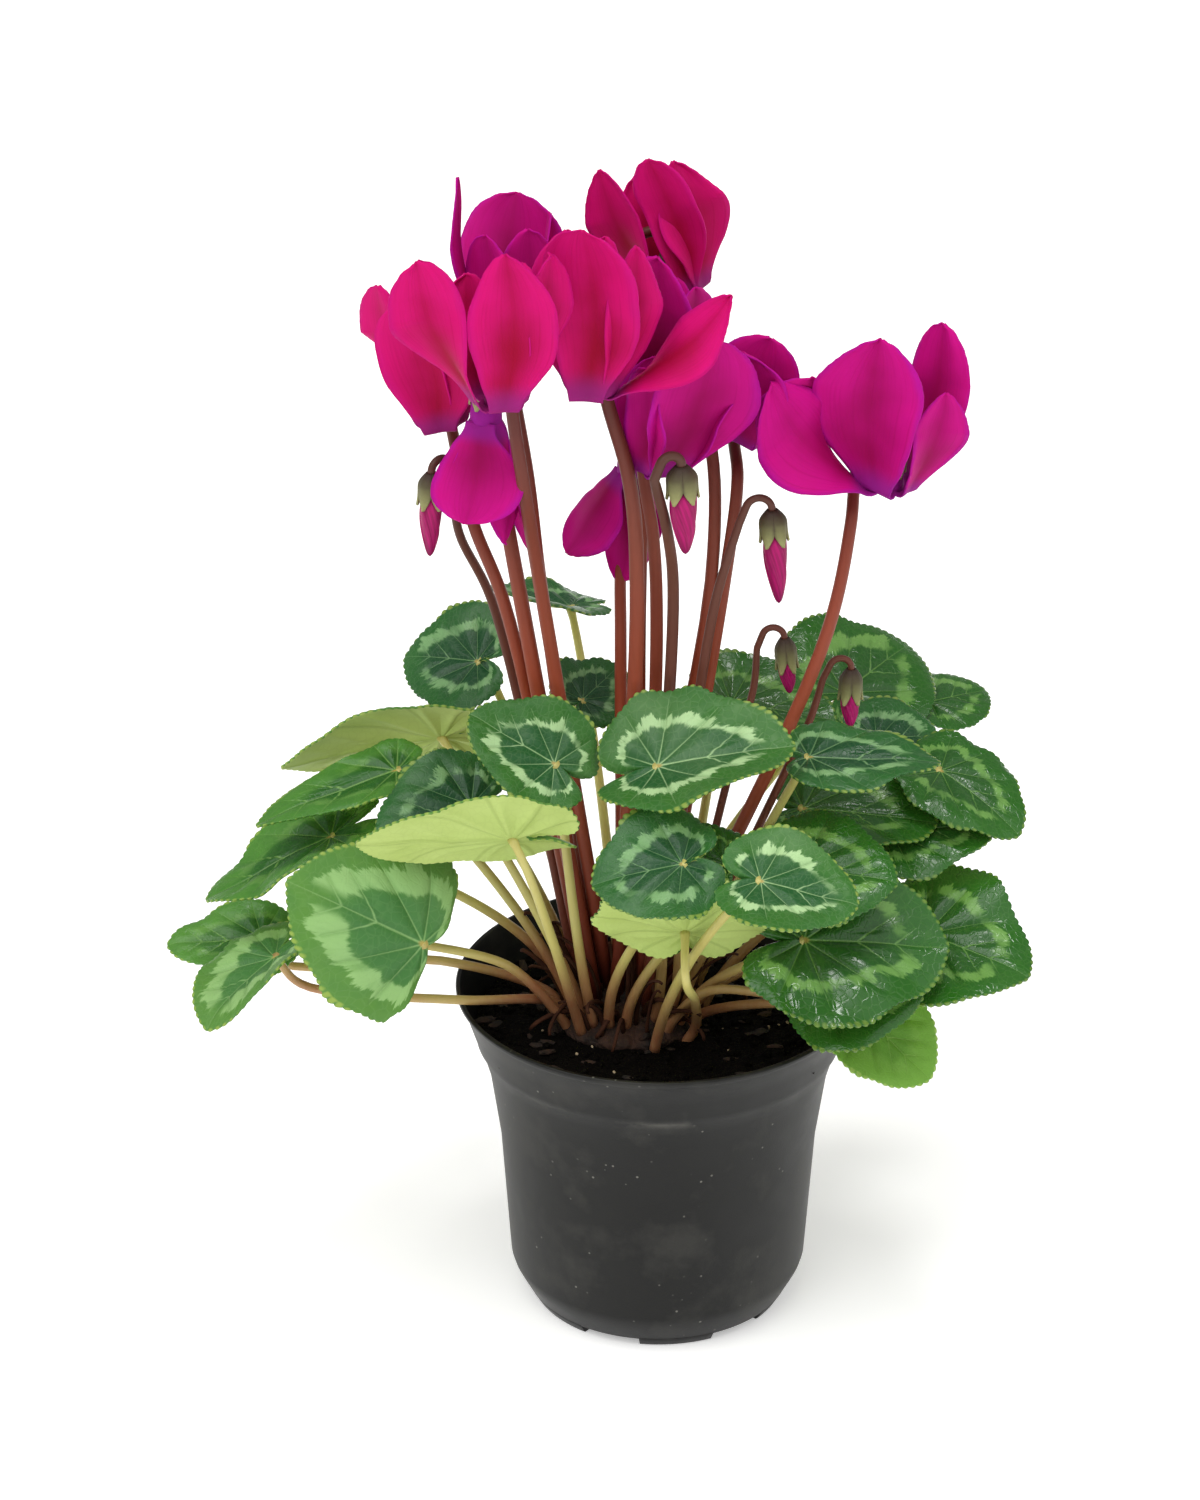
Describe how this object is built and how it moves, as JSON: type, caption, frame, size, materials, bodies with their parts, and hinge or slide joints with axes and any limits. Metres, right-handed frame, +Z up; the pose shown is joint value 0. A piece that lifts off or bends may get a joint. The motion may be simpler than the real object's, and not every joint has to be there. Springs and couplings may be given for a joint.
{
  "type": "potted cyclamen",
  "caption": "Flowering cyclamen with marbled heart-shaped leaves in a round black nursery pot with small feet.",
  "frame": {"origin": "on the ground under the middle of the pot", "axes": "+Z up; -Y towards the viewer of the picture; +X to the viewer's right"},
  "size_m": [0.221, 0.1509, 0.3093],
  "materials": {
    "pot": "moulded black polypropylene, satin lip",
    "compost": "moist dark peat compost, crumbly",
    "tuber": "corky brown skin",
    "leaf": "waxy marbled leaf, satin",
    "young_leaf": "pale waxy leaf, satin",
    "flower_stalk": "smooth reddish brown stalk",
    "petal": "velvety magenta petal",
    "bud": "furled magenta petals in a grey-green calyx"
  },
  "bodies": {
    "root": {"pot": "pot", "compost": "compost", "tuber": "tuber", "leaf_front_high": "leaf", "leaf_left_high": "leaf", "leaf_low_left": "leaf", "leaf_far_low_left": "leaf", "leaf_far_left": "leaf", "leaf_left_fold": "leaf", "leaf_left_mid": "leaf", "leaf_left_turned": "leaf", "leaf_left_inner": "leaf", "leaf_left_under": "leaf", "leaf_back_left": "leaf", "leaf_back_flat": "leaf", "leaf_mid_small": "leaf", "leaf_back_right_big": "leaf", "leaf_right_back": "leaf", "leaf_right_upper": "leaf", "leaf_right_mid": "leaf", "leaf_far_back_right": "leaf", "leaf_far_right": "leaf", "leaf_right_dark": "leaf", "leaf_right_low": "leaf", "leaf_front_right_back": "leaf", "leaf_front_right": "leaf", "leaf_front_mid": "leaf", "leaf_front_small": "leaf", "leaf_front_under": "leaf", "leaf_low_right": "leaf", "leaf_right_tip": "leaf", "leaf_low_right_under": "leaf", "leaf_drooping": "young_leaf", "stalk_far_left": "flower_stalk", "petals_far_left": "petal", "stalk_front_left": "flower_stalk", "petals_front_left": "petal", "stalk_back_left": "flower_stalk", "petals_back_left": "petal", "stalk_middle": "flower_stalk", "petals_middle": "petal", "stalk_middle_low": "flower_stalk", "petals_middle_low": "petal", "stalk_middle_back": "flower_stalk", "petals_middle_back": "petal", "stalk_right_of_middle": "flower_stalk", "petals_right_of_middle": "petal", "stalk_top": "flower_stalk", "petals_top": "petal", "stalk_right": "flower_stalk", "petals_right": "petal", "stalk_hanging_left": "flower_stalk", "petals_hanging_left": "petal", "stalk_hanging_middle": "flower_stalk", "petals_hanging_middle": "petal", "bud_left": "bud", "bud_middle": "bud", "bud_right": "bud", "bud_small_back": "bud", "bud_small_right": "bud"}
  },
  "joints": []
}
